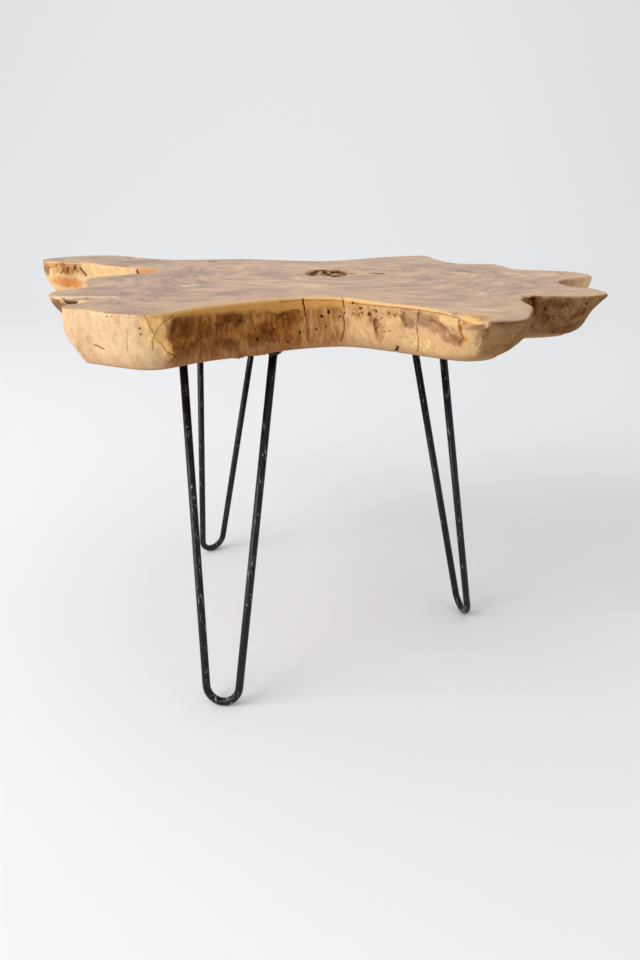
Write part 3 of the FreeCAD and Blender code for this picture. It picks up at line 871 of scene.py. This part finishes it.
def wall_tint(tree, place, sizes, fibre):
    """Raw live edge: soft ragged patches over faint fibres that run down the wall to a greyer lower edge."""
    tall = add(tree, "ShaderNodeMapping", {"Vector": place, "Scale": (1.0, 1.0, 0.55)}).outputs[0]
    broken = clouds(tree, tall, 150.0, 5.0, 0.62)
    broad = clouds(tree, place, 26.0, 3.0)
    wood = blend(tree, spread(tree, broad, 0.42, 0.72, 0.0, 0.3), tuple(sizes.fresh), tuple(sizes.straw))
    # Some patches are painted shade: the full-height brown, olive and umber ones, and a few umber and stain
    # patches in a notch, a cleft and creases.
    for name, (strength, ragged, _, _) in TINT_PATCHES.items():
        uneven = spread(tree, broken, 0.34, 0.66, 1 - ragged, 1 + ragged)
        share = spread(tree, sums(tree, "MULTIPLY", stored(tree, name), uneven), 0.05, 0.95, 0.0, strength)
        wood = blend(tree, share, wood, tuple(getattr(sizes, name)))
    # The darker mottling falls on the brown, umber, honey and olive walls, and is partly painted shade there.
    brown_and_shaded = stored(tree, "brown")
    for name, strength in (("umber", 0.7), ("honey", 0.5), ("olive", 0.6)):
        brown_and_shaded = sums(tree, "MAXIMUM", brown_and_shaded, sums(tree, "MULTIPLY", stored(tree, name), strength))
    mottled = ramp_of(tree, spread(tree, clouds(tree, tall, 120.0, 6.0, 0.72), 0.36, 0.62), (
        (0.0, srgb("#a07c55")), (0.5, srgb("#dccab1")), (1.0, srgb("#ffffff"))))
    wood = blend(tree, sums(tree, "MULTIPLY", brown_and_shaded, 0.9), wood, mottled, "MULTIPLY")
    combed = ramp_of(tree, spread(tree, fibre, 0.38, 0.6), ((0.0, srgb("#c6a57f")), (1.0, srgb("#ffffff"))))
    wood = blend(tree, sums(tree, "MULTIPLY", stored(tree, "honey"), 0.7), wood, combed, "MULTIPLY")
    pores = spread(tree, clouds(tree, tall, 820.0, 2.0), 0.58, 0.7, 0.0, 0.35)
    wood = blend(tree, pores, wood, tuple(sizes.stain))
    height = add(tree, "ShaderNodeSeparateXYZ", {0: place}).outputs[2]
    low = spread(tree, height, SLICE_LOW.z + 0.002, SLICE_LOW.z + 0.018, 0.4, 0.0)
    wood = blend(tree, low, wood, tuple(sizes.pink))
    shade = sums(tree, "ADD", sums(tree, "MULTIPLY", fibre, 0.35), sums(tree, "MULTIPLY", broken, 0.65))
    shade = ramp_of(tree, spread(tree, shade, 0.34, 0.62), (
        (0.0, srgb("#e4d6c2")), (0.5, srgb("#f6f2ec")), (1.0, srgb("#ffffff"))))
    wood = blend(tree, 1.0, wood, shade, "MULTIPLY")
    flecks = ramp_of(tree, spread(tree, clouds(tree, tall, 430.0, 3.0, 0.7), 0.36, 0.56), (
        (0.0, srgb("#dcc9b0")), (0.6, srgb("#ffffff"))))
    flecked = sums(tree, "MAXIMUM", stored(tree, "straw"), brown_and_shaded)
    return blend(tree, spread(tree, flecked, 0.0, 1.0, 0.08, 0.5), wood, flecks, "MULTIPLY")


def root_wood(sizes):
    """Root wood: lacquered end grain above, raw live edge, sawn underside.

    The eye sees mottled rings round the pith under a soft gloss, an amber line along the sanded edge with a
    painted highlight along its top, and dry streaked wood with stains, pits and cracks below it, darkened
    with painted shade.
    """
    material, tree, shader = new_material("lacquered_root_wood")
    place = add(tree, "ShaderNodeTexCoord").outputs["Object"]
    top = stored(tree, "top")
    pit = stored(tree, "pit")
    band = stored(tree, "band")
    down = add(tree, "ShaderNodeMapping", {"Vector": place, "Scale": (1.0, 1.0, 0.1)}).outputs[0]
    fibre = clouds(tree, down, 260.0, 4.0, 0.6)
    face, figure = top_figure(tree, place, sizes)
    wood = wall_tint(tree, place, sizes, fibre)
    sawn = blend(tree, clouds(tree, place, 60.0, 5.0), tuple(sizes.sawn), srgb("#94714b"))
    tint = blend(tree, top, wood, face)
    height = add(tree, "ShaderNodeSeparateXYZ", {0: place}).outputs[2]
    amber = blend(tree, clouds(tree, down, 160.0, 4.0), tuple(sizes.amber), srgb("#cf9c58"))
    # Painted highlight: the band turns paler over its top 4 mm, where the rounded rim meets the light.
    amber = blend(tree, spread(tree, height, TOP - 0.004, TOP - 0.001, 0.0, 0.75), amber, srgb("#ebc48b"))
    tint = blend(tree, sums(tree, "MULTIPLY", band, 0.85), tint, amber)
    tint = blend(tree, stored(tree, "under"), tint, sawn)
    # Dark gold of the tool cuts' edges, and painted shadow along the groove under the band.
    tint = blend(tree, stored(tree, "score"), tint, srgb("#6e3d10"))
    # Pale scratches, splinters and sapwood, and painted highlights along the top rims.
    tint = blend(tree, sums(tree, "MULTIPLY", stored(tree, "pale"), 0.9), tint, srgb("#efd2a4"))
    # Painted shade in cracks, worm holes and grub tracks, and the brown of the rotted pith, from the pit
    # value.
    tint = blend(tree, spread(tree, pit, 0.03, 0.55), tint, srgb("#5e3414"))
    tint = blend(tree, spread(tree, pit, 0.55, 1.0), tint, srgb("#1c0e05"))
    tree.links.new(tint, shader.inputs["Base Color"])

    sealed = sums(tree, "SUBTRACT", top, pit)
    gloss = spread(tree, sealed, 0.0, 1.0, 0.7, 0.36)
    gloss = sums(tree, "ADD", gloss, sums(tree, "MULTIPLY", figure, 0.1))
    tree.links.new(gloss, shader.inputs["Roughness"])
    tree.links.new(spread(tree, sealed, 0.0, 1.0, 0.1, 0.45), shader.inputs["Specular IOR Level"])
    relief = sums(tree, "MULTIPLY", fibre, stored(tree, "raw"))
    pores = sums(tree, "MULTIPLY", clouds(tree, place, 300.0), 0.1)
    relief = sums(tree, "ADD", relief, pores)
    bump = add(tree, "ShaderNodeBump", {"Height": relief, "Distance": 0.0005, "Strength": 0.8})
    tree.links.new(bump.outputs["Normal"], shader.inputs["Normal"])
    return material


class RootSlice(bpy.types.Operator):
    """Works the slice of root wood and gives it its finish."""
    bl_idname = "root_table.root_slice"
    bl_label = "Root slice"

    def execute(self, context):
        sizes = context.scene.root_table.slice
        piece = even_skin(sizes.skin)
        work_slice(piece, sizes)
        finish_piece(piece, root_wood(sizes), "root_wood", "root_slice_top")
        return {"FINISHED"}


# The legs

def black_paint(legs, name, wear):
    """Black enamel brushed on hot-rolled steel: soft gloss, pale scuffs and chips, most round the foot."""
    material, tree, shader = new_material(name)
    place = add(tree, "ShaderNodeTexCoord").outputs["Object"]
    along = add(tree, "ShaderNodeMapping", {"Vector": place, "Scale": (1.0, 1.0, 0.16)}).outputs[0]
    rub = spread(tree, clouds(tree, along, 420.0, 4.0, 0.65), 0.59, 0.68)
    speck = spread(tree, clouds(tree, place, 520.0, 2.0, 0.5), 0.67, 0.74)
    patchy = clouds(tree, place, 55.0, 3.0, 0.6)
    height = add(tree, "ShaderNodeSeparateXYZ", {0: place}).outputs[2]
    foot = spread(tree, height, 0.006, 0.034, wear, 0.0)
    share = sums(tree, "MAXIMUM", foot, spread(tree, patchy, 0.47, 0.62, 0.05 * wear, wear))
    worn = sums(tree, "MULTIPLY", sums(tree, "MAXIMUM", rub, speck), share)
    tree.links.new(blend(tree, worn, tuple(legs.paint), tuple(legs.scuff)), shader.inputs["Base Color"])
    tree.links.new(spread(tree, patchy, 0.3, 0.7, 0.2, 0.42), shader.inputs["Roughness"])
    shader.inputs["Specular IOR Level"].default_value = 0.3
    lumps = clouds(tree, along, 240.0, 3.0, 0.6)
    bump = add(tree, "ShaderNodeBump", {"Height": lumps, "Distance": 0.0006, "Strength": 0.6})
    tree.links.new(bump.outputs["Normal"], shader.inputs["Normal"])
    return material


def zinc_plate(legs):
    """Bright zinc on screws: a pale metal with cloudy dulling."""
    material, tree, shader = new_material("zinc_plated_steel")
    place = add(tree, "ShaderNodeTexCoord").outputs["Object"]
    dull = clouds(tree, place, 700.0, 3.0)
    tree.links.new(blend(tree, dull, tuple(legs.zinc), srgb("#7d7c76")), shader.inputs["Base Color"])
    tree.links.new(spread(tree, dull, 0.3, 0.7, 0.25, 0.5), shader.inputs["Roughness"])
    shader.inputs["Metallic"].default_value = 1.0
    return material


def smooth_copy(node, keep_sharp):
    """A copy of a CAD node, shaded smooth except across edges sharper than an angle."""
    piece = copy_of(node, node + "_finish")
    for face in piece.data.polygons:
        face.use_smooth = True
    piece.data.set_sharp_from_angle(angle=keep_sharp)
    return piece


class HairpinBars(bpy.types.Operator):
    """Finishes the three bent bars."""
    bl_idname = "root_table.hairpin_bars"
    bl_label = "Hairpin bars"

    def execute(self, context):
        paint = black_paint(context.scene.root_table.legs, "black_enamel_on_bar", 0.9)
        for leg in LEGS:
            node = f"{leg}_leg_rod"
            finish_piece(smooth_copy(node, math.radians(40)), paint, "black_bar", node)
        return {"FINISHED"}


class Fixings(bpy.types.Operator):
    """Finishes the plates, welds and screws under the slice."""
    bl_idname = "root_table.fixings"
    bl_label = "Plates, welds and screws"

    def execute(self, context):
        legs = context.scene.root_table.legs
        paint = black_paint(legs, "black_enamel_on_plate", 0.25)
        zinc = zinc_plate(legs)
        kinds = (
            ("plate", paint, "black_plate"),
            ("welds", paint, "painted_weld"),
            ("screws", zinc, "zinc_screw"),
        )
        for leg in LEGS:
            for name, finish, slot in kinds:
                node = f"{leg}_leg_{name}"
                finish_piece(smooth_copy(node, math.radians(30)), finish, slot, node)
        return {"FINISHED"}


# The studio

# The paper roll in metres: half the floor's width, the backdrop's height and the radius of the sweep between
# them, and the number of flats that make up the sweep.
FLOOR_HALF = 6.0
BACKDROP_HIGH = 6.0
SWEEP = 3.5
SWEEP_SEGMENTS = 24

# Width of the camera's sensor in mm.
SENSOR_WIDE = 36


def seamless_paper(studio):
    """Matt paper roll: even pale grey with no gloss."""
    material, tree, shader = new_material("seamless_paper")
    shader.inputs["Base Color"].default_value = tuple(studio.floor)
    shader.inputs["Roughness"].default_value = 0.9
    shader.inputs["Specular IOR Level"].default_value = 0.1
    return material


def hang_lamp(name, power, size, place, aim):
    """A square soft lamp that looks at a point."""
    lamp = bpy.data.lights.new(name, "AREA")
    lamp.energy = power
    lamp.size = size
    hung = bpy.data.objects.new(name, lamp)
    hung.location = place
    hung.rotation_euler = (Vector(aim) - Vector(place)).to_track_quat("-Z", "Y").to_euler()
    bpy.context.scene.collection.objects.link(hung)


def lay_floor(studio):
    """A paper roll that lies on the floor and sweeps up into a backdrop."""
    form = bmesh.new()
    bmesh.ops.create_grid(form, x_segments=1, y_segments=1, size=FLOOR_HALF)
    far = [edge for edge in form.edges if all(v.co.y > 0 for v in edge.verts)]
    raised = bmesh.ops.extrude_edge_only(form, edges=far)
    lifted = [v for v in raised["geom"] if isinstance(v, bmesh.types.BMVert)]
    bmesh.ops.translate(form, verts=lifted, vec=(0, 0, BACKDROP_HIGH))
    bmesh.ops.bevel(
        form, geom=far, offset=SWEEP, affect="EDGES", segments=SWEEP_SEGMENTS, profile=0.5, material=-1)
    bmesh.ops.recalc_face_normals(form, faces=form.faces)
    mesh = bpy.data.meshes.new("studio_floor")
    form.to_mesh(mesh)
    form.free()
    for face in mesh.polygons:
        face.use_smooth = True
    mesh.materials.append(seamless_paper(studio))
    link_piece(mesh, "studio_floor")


def light_room(scene, studio):
    """The room's even light, a softbox at the front left and a lamp on the backdrop."""
    world = bpy.data.worlds.new("studio_room")
    world.use_nodes = True
    room = world.node_tree.nodes["Background"]
    room.inputs["Color"].default_value = (1, 1, 1, 1)
    room.inputs["Strength"].default_value = studio.sky
    scene.world = world
    hang_lamp("key_softbox", studio.key, 2.8, (-2.5, -1.6, 1.8), (0, 0, 0.35))
    hang_lamp("backdrop_wash", studio.wash, 2.0, (0, 1.6, 3.2), (0, 5.5, 1.2))


def set_camera(scene, studio):
    """The camera at the photo's angle."""
    view = bpy.data.cameras.new("photo_camera")
    view.lens = studio.lens
    view.sensor_width = SENSOR_WIDE
    camera = bpy.data.objects.new("photo_camera", view)
    camera.location = studio.eye
    camera.rotation_euler = (math.pi / 2 - studio.pitch, 0, 0)
    scene.collection.objects.link(camera)
    scene.camera = camera
    scene.view_settings.view_transform = "Standard"


class Studio(bpy.types.Operator):
    """Lays the floor, hangs the lamps and sets the camera at the photo's angle."""
    bl_idname = "root_table.studio"
    bl_label = "Studio"

    def execute(self, context):
        studio = context.scene.root_table.studio
        lay_floor(studio)
        light_room(context.scene, studio)
        set_camera(context.scene, studio)
        return {"FINISHED"}


OPERATORS = (RootSlice, HairpinBars, Fixings, Studio)


class RootTablePanel(bpy.types.Panel):
    """Lists the table's pieces in the sidebar."""
    bl_idname = "VIEW3D_PT_root_table"
    bl_label = "Root Table"
    bl_space_type = "VIEW_3D"
    bl_region_type = "UI"
    bl_category = "Root Table"

    def draw(self, context):
        for operator in OPERATORS:
            self.layout.operator(operator.bl_idname)


CLASSES = (RootSliceSettings, LegSettings, StudioSettings, TableSettings) + OPERATORS + (RootTablePanel,)


def register():
    """Makes the settings, operators and panel known to Blender."""
    for cls in CLASSES:
        bpy.utils.register_class(cls)
    bpy.types.Scene.root_table = bpy.props.PointerProperty(type=TableSettings)


def unregister():
    """Takes them out again."""
    del bpy.types.Scene.root_table
    for cls in reversed(CLASSES):
        bpy.utils.unregister_class(cls)


def main():
    """Makes every piece and the studio."""
    register()
    for operator in OPERATORS:
        group, name = operator.bl_idname.split(".")
        getattr(getattr(bpy.ops, group), name)()


if __name__ == "__main__":
    main()
